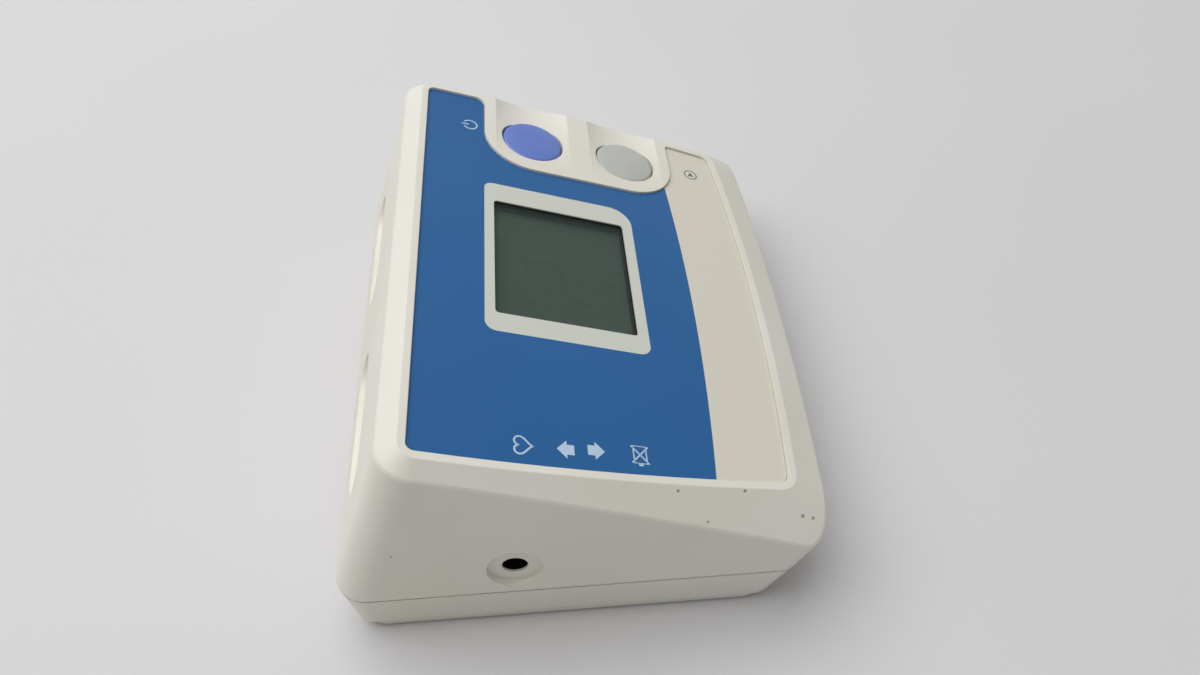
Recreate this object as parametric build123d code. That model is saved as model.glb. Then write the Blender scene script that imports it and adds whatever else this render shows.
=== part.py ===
from build123d import *
import os
from math import cos, radians, sin, tan

# Upper arm blood pressure monitor, desk model.
# Millimetres. +X is the user's right, +Y the back, +Z up. While it is modelled, y is
# counted from the middle of the display label and z from the table. At the end every
# piece moves along Y, so that the origin lies under the middle of the whole case.

# What the case holds from left to right, which sets its width
bay_side_inset = 22.0
contact_thickness = 0.4
cell_length = 49.2
cell_nub_length = 1.3
spring_room = 7.7
pump_tube_room = 11.0
pump_head_length = 20.0
motor_length = 31.0
pump_side_inset = 23.0
bay_length = 2 * contact_thickness + cell_length + cell_nub_length + spring_room
pump_length = pump_head_length + motor_length
inside_length = bay_side_inset + bay_length + pump_tube_room + pump_length + pump_side_inset

# Case shell
panel_slope = 18.6
panel_height = 51.5
wall = 2.2
roof = 3.1
parting_height = 17.5
parting_half_width = inside_length / 2
parting_back = 75.3
parting_front = 49.7
front_bow = 3.4
side_draft = 3.6
back_lean = 19.9
front_lean = 32.0
shell_rise = 23.5
shell_top = panel_height + shell_rise
parting_front_radius = 5.0
parting_back_radius = 9.0
nose_corner_radius = 11.0
shell_top_back_radius = 9.0

# Frame and bevels around the panel
rim_height = 0.7
rim_width = 2.3
rim_front_radius = 6.5
rim_back_radius = 4.5
side_bevel = 40.0
back_bevel = 44.0
front_bevel = 19.4
bevel_depth = 16.0
bevel_round = 1.6
rim_round = 0.35

# Printed label
label_side_inset = 9.5
label_half_width = parting_half_width - label_side_inset
label_back_inset = 22.8
label_front_reach = 0.2
label_back = parting_back - label_back_inset
label_front = parting_front + label_front_reach
label_front_bow = 3.9
label_widest_at = 38.8
label_side_curve = 757.0
label_thickness = 0.4
label_gap = 0.2
label_front_radius = 3.8
label_back_radius = 2.2

# Display
window_left = -24.5
window_right = 22.5
window_front = -9.8
window_back = 31.1
window_radius = 1.2
window_lap = 1.6
window_thickness = 0.8
display_depth = 3.7
glass_thickness = 2.6
glass_lap = 5.5
holder_wall = 2.4
fit_gap = 0.15

# Push buttons and the scooped channels they lie in
button_inset = 16.8
button_x = label_half_width - button_inset
power_button_inset = 34.7
button_spacing = 32.1
power_button_v = label_back - power_button_inset
start_button_v = power_button_v - button_spacing
button_hole_radius = 10.35
button_gap = 0.4
button_crown = 0.55
button_edge_round = 1.1
button_skirt_wall = 1.5
button_flange = 1.4
button_flange_thickness = 1.2
button_stem_radius = 2.4
button_bottom_gap = 0.3
dome_gap = 0.05
dome_height = 2.6
dome_base_radius = 6.5
dome_base_height = 0.6
dome_foot_radius = 5.0
dome_top_radius = 2.8
dome_wall = 0.8
strip_width = 2.4
strip_inset = 1.2
foam_margin = 5.5
notch_radius = 16.3
notch_corner_radius = 3.2
notch_front_corner_radius = 1.2
channel_half_width = 12.4
channel_lead = 12.5
channel_start = button_x - channel_lead
channel_end = parting_half_width + 1
channel_start_depth = 0.15
channel_end_depth = 4.2
pad_depth = 5.6
pad_margin = 3.0

# Lower case
tray_height = 3.8
tray_flare = 1.3
tray_front_step = 4.8
tray_back_step = 2.9
plinth_step = 0.8
plinth_front_step = 2.7
plinth_back_step = 2.5
tray_half_width = parting_half_width - tray_flare
tray_front = parting_front - tray_front_step
tray_back = parting_back - tray_back_step
plinth_half_width = tray_half_width - plinth_step
plinth_front = tray_front - plinth_front_step
plinth_back = tray_back - plinth_back_step
tray_radius = 6.0
foot_lift = 0.8
seam_height = 0.6
seam_depth = 0.7
floor_thickness = 2.2

# Rubber feet
foot_radius = 5.0
foot_seat = 1.0
foot_inset = 10.0
foot_front_y = -17.0
foot_back_y = 41.0
foot_x = parting_half_width - foot_inset

# Case screws and their posts
screw_inset = 9.0
screw_front_inset = 17.7
screw_back_inset = 18.8
screw_x = parting_half_width - screw_inset
screw_front_y = -parting_front + screw_front_inset
screw_back_y = parting_back - screw_back_inset
post_radius = 4.2
screw_radius = 1.25
screw_fit = 0.05
screw_head_radius = 3.0
screw_head_height = 2.0
screw_seat_height = 10.0
screw_length = 18.0

# Batteries, their bay and the sliding cover
cell_diameter = 14.5
cell_nub_radius = 2.75
cell_count = 4
cell_spacing = 14.9
cell_lift = 3.4
bay_left = -parting_half_width + bay_side_inset
bay_right = bay_left + bay_length
bay_back_inset = 12.6
bay_half_depth = 30.2
bay_middle_y = parting_back - bay_back_inset - bay_half_depth
bay_ceiling = 19.5
bay_wall = 1.6
contact_size = 11.0
spring_radius = 3.8
spring_wire_radius = 0.35
spring_pitch = 2.3
cover_gap = 0.3
cover_wall_height = 12.0
cover_lug_height = 1.2
cover_lug_reach = 1.4
cover_side_lap = 3.0
tunnel_wall = 1.6

# Air pump
pump_back_inset = 37.3
pump_y = parting_back - pump_back_inset
pump_z = 19.2
pump_head_radius = 13.5
chamber_radius = 9.0
chamber_depth = 9.0
motor_radius = 12.0
motor_can = 1.0
shaft_radius = 1.0
shaft_gap = 0.05
armature_radius = 8.0
armature_length = 18.0
crank_radius = 5.0
crank_offset = 1.6
crank_width = 3.0
saddle_thickness = 2.0
saddle_inset = 6.0
saddle_rise = 9.0
strap_width = 8.0
strap_thickness = 1.2
strap_ear = 6.0
strap_screw_length = 6.0
shaft_bush = 1.5
shaft_end_wall = 3.0
shaft_pocket = 2.0

# Air circuit
socket_lead = 4.7
socket_y = bay_middle_y - socket_lead
socket_z = 27.2
socket_dish_radius = 7.25
socket_dish_inset = 2.0
socket_dish_floor = parting_half_width - socket_dish_inset
socket_hole_radius = 3.35
socket_boss_radius = 9.0
socket_boss_depth = 2.4
socket_bore_radius = 2.6
socket_bore_length = 12.8
socket_body_radius = 5.0
socket_flange_radius = 7.5
socket_flange_thickness = 1.5
nipple_radius = 1.45
nipple_length = 6.0
air_passage_radius = 0.8
tube_inner_radius = 1.5
tube_outer_radius = 2.5
manifold_inset = 22.0
manifold_x = bay_left + manifold_inset
manifold_size = 2 * (socket_z - bay_ceiling - bay_wall)
valve_length = 18.0
valve_spigot_radius = 2.0
valve_spigot_length = 4.0
plunger_radius = 1.6
plunger_gap = 0.05
plunger_length = 9.0
plunger_reach = 3.0
plunger_cap_radius = 3.0
plunger_cap_length = 1.0
plunger_travel = 1.0
tube_bend = 15.0
sensor_tube_bend = 5.0
sensor_tube_rise = 4.7

# Circuit board
board_depth = 11.5
board_thickness = 1.6
board_left_inset = 17.0
board_right_inset = 15.0
board_left = -parting_half_width + board_left_inset
board_right = parting_half_width - board_right_inset
board_front_inset = 13.9
board_back_inset = 8.5
board_front = -label_front + board_front_inset
board_back = label_back - board_back_inset
board_post_radius = 3.2
board_screw_radius = 1.1
board_screw_pass = 0.2
board_screw_head_radius = 2.2
board_screw_head_height = 1.4
board_screw_length = 6.0
board_post_inset = 5.0
board_middle_post_inset = 28.5
board_posts = [
    (board_left + board_post_inset, board_back - board_post_inset),
    (board_left + board_post_inset, board_front + board_post_inset),
    (board_right - board_middle_post_inset, board_back - board_post_inset),
    (board_right - board_post_inset, board_front + board_post_inset),
]
sensor_width = 9.0
sensor_height = 3.6
sensor_nipple_length = 4.0
chip_size = 14.0
chip_height = 1.6
chip_place = (8.0, 4.0)
buzzer_radius = 6.0
buzzer_height = 3.0
buzzer_place = (-12.0, -22.0)
capacitor_radius = 2.5
capacitor_height = 5.0
capacitor_places = [(38.0, -12.0), (45.0, -12.0), (52.0, -12.0)]

# Back wall: two hand scoops, the right one with the adapter inlet
scoop_x = 36.0
scoop_z = 33.0
scoop_length = 46.0
scoop_height = 15.0
scoop_depth = 2.0
scoop_taper = 35.0
jack_barrel_radius = 4.0
jack_bore_radius = 2.75
jack_bore_depth = 9.0
jack_pin_radius = 0.65
jack_body_width = 10.0
jack_body_length = 12.0
jack_front_inset = 8.1
jack_barrel_length = 3.4
jack_front_y = parting_back - jack_front_inset
jack_shoulder_y = jack_front_y - jack_barrel_length
jack_boss_radius = 6.5

slope = radians(panel_slope)
panel = Plane(origin=(0, 0, panel_height), x_dir=(1, 0, 0), z_dir=(0, -sin(slope), cos(slope)))


def box(x0, x1, y0, y1, z0, z1):
    """A block between two corners."""
    return Pos((x0 + x1) / 2, (y0 + y1) / 2, (z0 + z1) / 2) * Box(x1 - x0, y1 - y0, z1 - z0)


def panel_box(x0, x1, v0, v1, n0, n1):
    """A block in panel coordinates: x across, v up the slope, n out of the panel."""
    return panel * box(x0, x1, v0, v1, n0, n1)


def panel_rod(x, v, radius, n0, n1):
    """A round rod that stands on the panel's own normal."""
    return panel * Pos(x, v, (n0 + n1) / 2) * Cylinder(radius, n1 - n0)


def upright(x, y, radius, z0, z1):
    """A vertical rod."""
    return Pos(x, y, (z0 + z1) / 2) * Cylinder(radius, z1 - z0)


def rod_x(x0, x1, y, z, radius):
    """A rod along X."""
    return Pos((x0 + x1) / 2, y, z) * Rot(0, 90, 0) * Cylinder(radius, x1 - x0)


def rod_y(x, y0, y1, z, radius):
    """A rod along Y."""
    return Pos(x, (y0 + y1) / 2, z) * Rot(90, 0, 0) * Cylinder(radius, y1 - y0)


def panel_sheet(sketch, n0, n1):
    """A flat sheet with the sketch's outline, between two heights over the panel."""
    return panel * extrude(Pos(0, 0, n0) * sketch, amount=n1 - n0)


def rounded_corners(face, back_radius, front_radius):
    """Rounds the two back corners and the two front corners of an outline."""
    face = fillet(face.vertices().group_by(Axis.Y)[-1], back_radius)
    return fillet(face.vertices().group_by(Axis.Y)[0], front_radius)


def plan_outline(z, half_width, front, back, front_radius, back_radius):
    """Horizontal section of the case: straight sides and back, bowed front."""
    corner = -front + front_bow
    face = make_face([
        Line((-half_width, back), (half_width, back)),
        Line((half_width, back), (half_width, corner)),
        ThreePointArc((half_width, corner), (0, -front), (-half_width, corner)),
        Line((-half_width, corner), (-half_width, back)),
    ])
    return Pos(0, 0, z) * rounded_corners(face, back_radius, front_radius)


def side_reach(v):
    """Half width of the label at the place v up the slope."""
    return label_half_width - (v - label_widest_at) ** 2 / (2 * label_side_curve)


def panel_outline(side, back, front, back_radius, front_radius):
    """The label's outline, grown by a different amount at the sides, back and front."""
    label_corner = -label_front + label_front_bow
    v_back = label_back + back
    v_corner = label_corner - front
    v_middle = (v_back + v_corner) / 2
    x_back = side_reach(label_back) + side
    x_middle = side_reach((label_back + label_corner) / 2) + side
    x_front = side_reach(label_corner) + side
    face = make_face([
        Line((-x_back, v_back), (x_back, v_back)),
        ThreePointArc((x_back, v_back), (x_middle, v_middle), (x_front, v_corner)),
        ThreePointArc((x_front, v_corner), (0, -label_front - front), (-x_front, v_corner)),
        ThreePointArc((-x_front, v_corner), (-x_middle, v_middle), (-x_back, v_back)),
    ])
    return rounded_corners(face, back_radius, front_radius)


def leaning_walls(inset, base):
    """The case's walls as one solid, from the height base up, drawn in by inset."""
    def level(z, front_radius, back_radius):
        rise = z - parting_height
        return plan_outline(
            z,
            parting_half_width - inset - rise * tan(radians(side_draft)),
            parting_front - inset + rise * tan(radians(front_lean)),
            parting_back - inset - rise * tan(radians(back_lean)),
            front_radius - inset,
            back_radius - inset)
    low = level(base, parting_front_radius, parting_back_radius)
    high = level(shell_top, nose_corner_radius, shell_top_back_radius)
    return loft([low, high], ruled=True)


def bevelled_top(inset, lower):
    """The sloping roof with its bevels, drawn in by inset and let down by lower."""
    def slack(bevel):
        return inset * tan(radians(bevel) / 2) + (inset - lower) / tan(radians(bevel))
    def growth(bevel, depth):
        return rim_width - slack(bevel) + depth / tan(radians(bevel))
    def level(depth):
        return panel_outline(
            growth(side_bevel, depth), growth(back_bevel, depth), growth(front_bevel, depth),
            rim_back_radius + depth, rim_front_radius + depth)
    top_n = rim_height - lower
    top = Pos(0, 0, top_n) * level(0)
    low = Pos(0, 0, top_n - bevel_depth) * level(bevel_depth)
    skirt = extrude(low, amount=-60)
    return panel * (loft([top, low], ruled=True) + skirt)


def label_outline(inset):
    """The label: the panel's outline less the notch that the buttons lie in."""
    whole = panel_outline(-inset, -inset, -inset, label_back_radius, label_front_radius)
    reach = notch_radius + inset
    v_front = start_button_v - reach
    v_back = power_button_v + reach
    v_middle = (start_button_v + power_button_v) / 2
    discs = Pos(button_x, power_button_v) * Circle(reach) + Pos(button_x, start_button_v) * Circle(reach)
    link = Pos(button_x - reach / 2, v_middle) * Rectangle(reach, power_button_v - start_button_v)
    run_out = Pos(button_x + label_half_width / 2, v_middle) * Rectangle(label_half_width, v_back - v_front)
    label = whole - (discs + link + run_out)
    def tip(v):
        near = label.vertices().filter_by(lambda p: p.X > button_x + 5 and abs(p.Y - v) < 0.5)
        return near.sort_by(Axis.X)[-1]
    label = fillet(tip(v_back), notch_corner_radius)
    return fillet(tip(v_front), notch_front_corner_radius)


def window_outline(grow):
    """The display opening, grown on all sides."""
    width = window_right - window_left + 2 * grow
    height = window_back - window_front + 2 * grow
    middle = Pos((window_left + window_right) / 2, (window_front + window_back) / 2)
    return middle * RectangleRounded(width, height, window_radius)


def button_channel(v):
    """A scoop, flat at the button and deeper towards the right edge, with straight sides."""
    def section(x, depth):
        top = rim_height + 4
        face = make_face([
            Line((-channel_half_width, rim_height), (-channel_half_width, top)),
            Line((-channel_half_width, top), (channel_half_width, top)),
            Line((channel_half_width, top), (channel_half_width, rim_height)),
            ThreePointArc((channel_half_width, rim_height), (0, rim_height - depth),
                          (-channel_half_width, rim_height)),
        ])
        return Plane(origin=(x, v, 0), x_dir=(0, 1, 0), z_dir=(1, 0, 0)) * face
    return panel * loft([section(channel_start, channel_start_depth),
                         section(channel_end, channel_end_depth)], ruled=True)


def is_low_edge(edge):
    """True for the edges where the bevels meet the walls."""
    points = [edge @ t for t in (0.0, 0.5, 1.0)]
    on_rim = any(abs(panel.to_local_coords(p).Z - rim_height) < 0.01 for p in points)
    on_parting = any(abs(p.Z - parting_height) < 0.01 for p in points)
    return not (on_rim or on_parting)


def is_rim_edge(edge):
    """True for the edges around the top of the frame."""
    return all(abs(panel.to_local_coords(edge @ t).Z - rim_height) < 0.01 for t in (0.0, 0.5, 1.0))


def rounded_case():
    """The upper case's outside, without openings."""
    shell = leaning_walls(0, parting_height) & bevelled_top(0, 0)
    shell = fillet(shell.edges().filter_by(is_low_edge), bevel_round)
    return fillet(shell.edges().filter_by(is_rim_edge), rim_round)


def tray_outline(z, half_width, front, back, grow=0.0):
    """Horizontal section of the lower case."""
    return plan_outline(z, half_width + grow, front + grow, back + grow, tray_radius, tray_radius)


def lower_body(inset):
    """The lower case's tray and plinth as one solid, drawn in by inset."""
    top = plan_outline(parting_height, parting_half_width - inset, parting_front - inset,
                       parting_back - inset, parting_front_radius, parting_back_radius)
    step = tray_outline(tray_height, tray_half_width, tray_front, tray_back, -inset)
    return loft([step, top], ruled=True)


case_outside = rounded_case()
case_hollow = leaning_walls(wall, parting_height) & bevelled_top(wall, roof)

# Places that several pieces share
roof_under = rim_height - roof
board_top = -board_depth
board_under = board_top - board_thickness
floor_top = foot_lift + floor_thickness
corners_of_case = [(x, y) for x in (-screw_x, screw_x) for y in (screw_front_y, screw_back_y)]
feet_at = [(x, y) for x in (-foot_x, foot_x) for y in (foot_front_y, foot_back_y)]
buttons_at = {"power": power_button_v, "start": start_button_v}
bay_front = bay_middle_y - bay_half_depth
bay_back = bay_middle_y + bay_half_depth
bay_roof = bay_ceiling + bay_wall
cover_left = bay_left - cover_side_lap
cover_right = bay_right + cover_side_lap
cover_front = bay_front - bay_wall / 2
lug_top = floor_top + 2 * cover_gap + cover_lug_height
beyond_back = parting_back + 10
motor_right = parting_half_width - pump_side_inset
motor_left = motor_right - motor_length
pump_head_left = motor_left - pump_head_length
strap_screw_reach = motor_radius + strap_thickness + strap_ear / 2
socket_mouth = -socket_dish_floor + socket_boss_depth
socket_end = socket_mouth + socket_bore_length + 1.8
manifold_left = manifold_x - manifold_size / 2
manifold_right = manifold_x + manifold_size / 2
manifold_back = socket_y + manifold_size / 2
manifold_top = socket_z + manifold_size / 2
valve_back = manifold_back + valve_length
glass_left = window_left - glass_lap
glass_right = window_right + glass_lap
glass_front = window_front - glass_lap
glass_back = window_back + glass_lap
glass_under = -display_depth - glass_thickness
window_under = -label_thickness - window_thickness
cap_radius = button_hole_radius - button_gap
flange_top = -pad_depth - button_bottom_gap
flange_under = flange_top - button_flange_thickness


def back_scoops():
    """Two long shallow hollows in the leaning back wall."""
    y = parting_back - (scoop_z - parting_height) * tan(radians(back_lean))
    lean = radians(back_lean)
    tools = Part()
    for x in (-scoop_x, scoop_x):
        wall_plane = Plane(origin=(x, y, scoop_z), x_dir=(-1, 0, 0), z_dir=(0, cos(lean), sin(lean)))
        mouth = wall_plane * SlotOverall(scoop_length, scoop_height)
        tools += extrude(mouth, amount=-scoop_depth, taper=scoop_taper)
        tools += extrude(mouth, amount=scoop_depth)
    return tools


def upper_case():
    """Top shell: panel recess, button channels, display opening, socket dish, screw posts."""
    pad = panel_box(channel_start, parting_half_width, start_button_v - notch_radius + pad_margin / 2,
                    power_button_v + notch_radius - pad_margin / 2, -pad_depth, rim_height + 1)
    shell = case_outside - (case_hollow - pad)
    for x, y in corners_of_case:
        shell += upright(x, y, post_radius, parting_height, shell_top) & case_outside
    for x, v in board_posts:
        shell += panel_rod(x, v, board_post_radius, board_top, roof_under + 0.3)
    boss = rod_x(-socket_dish_floor - 1, socket_mouth, socket_y, socket_z, socket_boss_radius)
    shell += boss & case_outside
    shell += rod_y(scoop_x, jack_shoulder_y, parting_back, scoop_z, jack_boss_radius) & case_outside
    shell -= panel_sheet(label_outline(-label_gap), -label_thickness, rim_height + 1)
    shell -= panel_sheet(window_outline(window_lap), roof_under - 1, rim_height + 1)
    for v in buttons_at.values():
        shell -= button_channel(v)
        shell -= panel_rod(button_x, v, button_hole_radius, -pad_depth - 1, rim_height + 1)
    for x, y in corners_of_case:
        pilot_end = screw_seat_height + screw_length + 1
        shell -= upright(x, y, screw_radius + screw_fit, parting_height - 1, pilot_end)
    for x, v in board_posts:
        shell -= panel_rod(x, v, board_screw_radius + screw_fit, board_top - 1,
                           board_under + board_screw_length + 0.5)
    shell -= rod_x(-parting_half_width - 1, -socket_dish_floor, socket_y, socket_z, socket_dish_radius)
    shell -= rod_x(-parting_half_width - 1, socket_mouth + 1, socket_y, socket_z, socket_hole_radius)
    shell -= back_scoops()
    shell -= rod_y(scoop_x, jack_shoulder_y - 1, parting_back, scoop_z, jack_barrel_radius + fit_gap)
    return shell


def lower_outside():
    """The lower case's outer form: flared tray, stepped plinth and the seam groove at the top."""
    tray = lower_body(0)
    plinth = loft([tray_outline(foot_lift, plinth_half_width, plinth_front, plinth_back),
                   tray_outline(tray_height, plinth_half_width, plinth_front, plinth_back, 0.3)], ruled=True)
    seam_height_z = parting_height - seam_height
    around = plan_outline(seam_height_z, parting_half_width + 5, parting_front + 5, parting_back + 5,
                          parting_front_radius, parting_back_radius)
    tongue = plan_outline(seam_height_z, parting_half_width - seam_depth, parting_front - seam_depth,
                          parting_back - seam_depth, parting_front_radius, parting_back_radius)
    groove = extrude(around, amount=seam_height + 1) - extrude(tongue, amount=seam_height + 1)
    return tray + plinth - groove


def lower_hollow():
    """The room inside the lower case."""
    low = tray_outline(floor_top, plinth_half_width, plinth_front, plinth_back, -wall)
    high = plan_outline(parting_height, parting_half_width - wall, parting_front - wall,
                        parting_back - wall, parting_front_radius, parting_back_radius)
    return loft([low, high], ruled=True)


def cover_room(gap):
    """What the battery cover takes out of the case: its plate and its turned-up back edge."""
    plate = box(cover_left + gap, cover_right - gap, cover_front + gap, beyond_back, 0, floor_top)
    edge_y = bay_back + bay_wall + 1
    edge = box(cover_left + gap, cover_right - gap, edge_y, beyond_back, 0, cover_wall_height - gap)
    ear_reach = cover_lug_reach + cover_gap - gap
    ears = box(cover_left - ear_reach, cover_right + ear_reach, edge_y, beyond_back,
               floor_top + gap, lug_top - gap)
    return plate + edge + ears


def lug_sides(outer_gap, inner_gap, low, high, y0, y1):
    """A pair of blocks beside the bay, as far out as the cover's lugs reach."""
    reach = cover_lug_reach + outer_gap
    return (box(cover_left - reach, bay_left - bay_wall - inner_gap, y0, y1, low, high)
            + box(bay_right + bay_wall + inner_gap, cover_right + reach, y0, y1, low, high))


lower_form = lower_outside()
lower_room = lower_hollow()


def lower_case():
    """Bottom tray: battery bay with its cover's guides, screw posts, pump saddles, foot seats."""
    shell = lower_form - lower_room
    shell += box(bay_left - bay_wall, bay_right + bay_wall, bay_front - bay_wall, bay_back + bay_wall,
                 floor_top - 0.5, bay_roof)
    shell += lug_sides(cover_gap + tunnel_wall, -1, floor_top - 0.5, lug_top + tunnel_wall,
                       bay_front - bay_wall, bay_back + bay_wall)
    for x, y in corners_of_case:
        shell += upright(x, y, post_radius, floor_top - 0.5, parting_height)
    motor_middle = (motor_left + motor_right) / 2
    for x in (motor_left + saddle_inset, motor_right - saddle_inset - saddle_thickness):
        shell += box(x, x + saddle_thickness, pump_y - saddle_rise, pump_y + saddle_rise, floor_top - 0.5,
                     pump_z - motor_radius / 2)
    for side in (-1, 1):
        y = pump_y + side * strap_screw_reach
        shell += box(motor_middle - strap_width / 2, motor_middle + strap_width / 2,
                     y - strap_ear / 2 + 0.4, y + strap_ear / 2,
                     floor_top - 0.5, pump_z - strap_thickness)
        shell -= upright(motor_middle, y, board_screw_radius + screw_fit,
                         pump_z - strap_screw_length - 1, pump_z)
    shell -= rod_x(motor_left - 1, motor_right + 1, pump_y, pump_z, motor_radius + 0.05)
    shell -= box(bay_left, bay_right, bay_front, bay_back, 0, bay_ceiling)
    for x, y in corners_of_case:
        shell -= upright(x, y, screw_radius + 0.4, 0, parting_height + 1)
        shell -= upright(x, y, screw_head_radius + 0.3, 0, screw_seat_height)
    for x, y in feet_at:
        shell -= upright(x, y, foot_radius + fit_gap, 0, foot_lift + foot_seat)
    shell -= lug_sides(cover_gap, 0, floor_top - 0.1, lug_top, cover_front, beyond_back)
    return shell - cover_room(0)


def battery_cover():
    """Sliding cover: a plate, its turned-up back edge and two lugs that ride over the floor."""
    skin = (lower_form & cover_room(cover_gap)) - lower_room
    bay_end = bay_back + bay_wall + 1
    skin -= box(bay_left - 10, bay_right + 10, 0, bay_end, floor_top - cover_gap, floor_top + 1)
    back = bay_back + bay_wall + 3
    rib_front = cover_front + cover_gap
    lugs = lug_sides(0, cover_gap, floor_top + cover_gap, lug_top - cover_gap, rib_front, back)
    ribs = (box(cover_left + cover_gap, bay_left - bay_wall - cover_gap, rib_front, back,
                floor_top - floor_thickness / 2, floor_top + 1)
            + box(bay_right + bay_wall + cover_gap, cover_right - cover_gap, rib_front, back,
                  floor_top - floor_thickness / 2, floor_top + 1))
    return skin + lugs + ribs


def front_label():
    """Printed film with the display opening and the notch around the buttons."""
    return panel_sheet(label_outline(0) - window_outline(0), -label_thickness, 0)


def display_pieces():
    """Clear window, black holder, display glass, foam backing and the two contact strips."""
    clear = panel_sheet(window_outline(window_lap - fit_gap), window_under, -label_thickness)
    holder = panel_box(glass_left - holder_wall, glass_right + holder_wall, glass_front - holder_wall,
                       glass_back + holder_wall, board_top, roof_under)
    holder += panel_sheet(window_outline(window_lap - fit_gap), roof_under - 0.5, window_under)
    holder -= panel_sheet(window_outline(0), -display_depth - 1, 0)
    holder -= panel_box(glass_left - fit_gap, glass_right + fit_gap, glass_front - fit_gap,
                        glass_back + fit_gap, board_top - 1, -display_depth)
    glass = panel_box(glass_left, glass_right, glass_front, glass_back, glass_under, -display_depth)
    foam = panel_box(window_left, window_right, glass_front + foam_margin, glass_back - foam_margin,
                     board_top, glass_under)
    strips = [panel_box(window_left, window_right, v, v + strip_width, board_top, glass_under)
              for v in (glass_front + strip_inset, glass_back - strip_inset - strip_width)]
    return {"display_window": clear, "lcd_holder": holder, "lcd_glass": glass,
            "lcd_backing": foam, "contact_strips": Compound(strips)}


def button_cap(v):
    """Round cap: low crown, rounded edge, hollow skirt, retaining flange and a stem."""
    flange_radius = button_hole_radius + button_flange
    crown_radius = cap_radius - button_edge_round
    skirt_radius = cap_radius - button_skirt_wall
    stem_end = board_top + dome_height + dome_gap
    ceiling = -button_edge_round - 1
    crown_arc = (crown_radius ** 2 + button_crown ** 2) / (2 * button_crown)
    face = make_face([
        Line((0, stem_end), (button_stem_radius, stem_end)),
        Line((button_stem_radius, stem_end), (button_stem_radius, ceiling)),
        Line((button_stem_radius, ceiling), (skirt_radius, ceiling)),
        Line((skirt_radius, ceiling), (skirt_radius, flange_under)),
        Line((skirt_radius, flange_under), (flange_radius, flange_under)),
        Line((flange_radius, flange_under), (flange_radius, flange_top)),
        Line((flange_radius, flange_top), (cap_radius, flange_top)),
        Line((cap_radius, flange_top), (cap_radius, -button_edge_round)),
        RadiusArc((cap_radius, -button_edge_round), (crown_radius, 0), -button_edge_round),
        RadiusArc((crown_radius, 0), (0, button_crown), -crown_arc),
        Line((0, button_crown), (0, stem_end)),
    ])
    return panel * Pos(button_x, v, 0) * revolve(Plane.XZ * face, Axis.Z)


def return_dome(v):
    """Silicone dome on the board, hollow, just under the cap's stem."""
    base_top = board_top + dome_base_height
    top = board_top + dome_height
    face = make_face(Polyline(
        (dome_foot_radius - dome_wall, board_top), (dome_base_radius, board_top),
        (dome_base_radius, base_top), (dome_foot_radius, base_top), (dome_top_radius, top), (0, top),
        (0, top - dome_wall), (dome_top_radius - dome_wall / 2, top - dome_wall),
        (dome_foot_radius - dome_wall, base_top), (dome_foot_radius - dome_wall, board_top)))
    return panel * Pos(button_x, v, 0) * revolve(Plane.XZ * face, Axis.Z)


def board_pieces():
    """Main board on the panel's own slope, with what is soldered to it."""
    board = panel_box(board_left, board_right, board_front, board_back, board_under, board_top)
    screws = []
    for x, v in board_posts:
        board -= panel_rod(x, v, board_screw_radius + board_screw_pass, board_under - 1, board_top + 1)
        head = panel_rod(x, v, board_screw_head_radius, board_under - board_screw_head_height, board_under)
        tip = board_under + board_screw_length
        screws.append(head + panel_rod(x, v, board_screw_radius, board_under, tip))
    chip_x, chip_v = chip_place
    chip = panel_box(chip_x - chip_size / 2, chip_x + chip_size / 2, chip_v - chip_size / 2,
                     chip_v + chip_size / 2, board_under - chip_height, board_under)
    buzzer = panel_rod(*buzzer_place, buzzer_radius, board_under - buzzer_height, board_under)
    cans = [panel_rod(x, v, capacitor_radius, board_under - capacitor_height, board_under)
            for x, v in capacitor_places]
    return {"main_board": board, "board_screws": Compound(screws), "controller_chip": chip,
            "buzzer": buzzer, "board_capacitors": Compound(cans)}


def battery_pieces():
    """Four cells side by side, their end contacts and the coil springs."""
    cells, contacts, springs = [], [], []
    z = cell_lift + cell_diameter / 2
    left_stop = bay_left + contact_thickness
    right_stop = bay_right - contact_thickness
    for k in range(cell_count):
        y = bay_middle_y + (k - (cell_count - 1) / 2) * cell_spacing
        half = contact_size / 2
        contacts.append(box(bay_left, left_stop, y - half, y + half, z - half, z + half))
        contacts.append(box(right_stop, bay_right, y - half, y + half, z - half, z + half))
        nub_right = k % 2 == 0
        body_left = left_stop + (spring_room if nub_right else cell_nub_length)
        nub_left = body_left + cell_length if nub_right else left_stop
        cells.append(rod_x(body_left, body_left + cell_length, y, z, cell_diameter / 2)
                     + rod_x(nub_left, nub_left + cell_nub_length, y, z, cell_nub_radius))
        coil = Helix(spring_pitch, spring_room - 2 * spring_wire_radius, spring_radius)
        start = left_stop if nub_right else right_stop - spring_room
        wire = sweep(Plane(coil @ 0, z_dir=coil % 0) * Circle(spring_wire_radius), path=coil, is_frenet=True)
        springs.append(Pos(start + spring_wire_radius, y, z) * Rot(0, 90, 0) * wire)
    return {"battery_cells": Compound(cells), "cell_contacts": Compound(contacts),
            "cell_springs": Compound(springs)}


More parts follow.
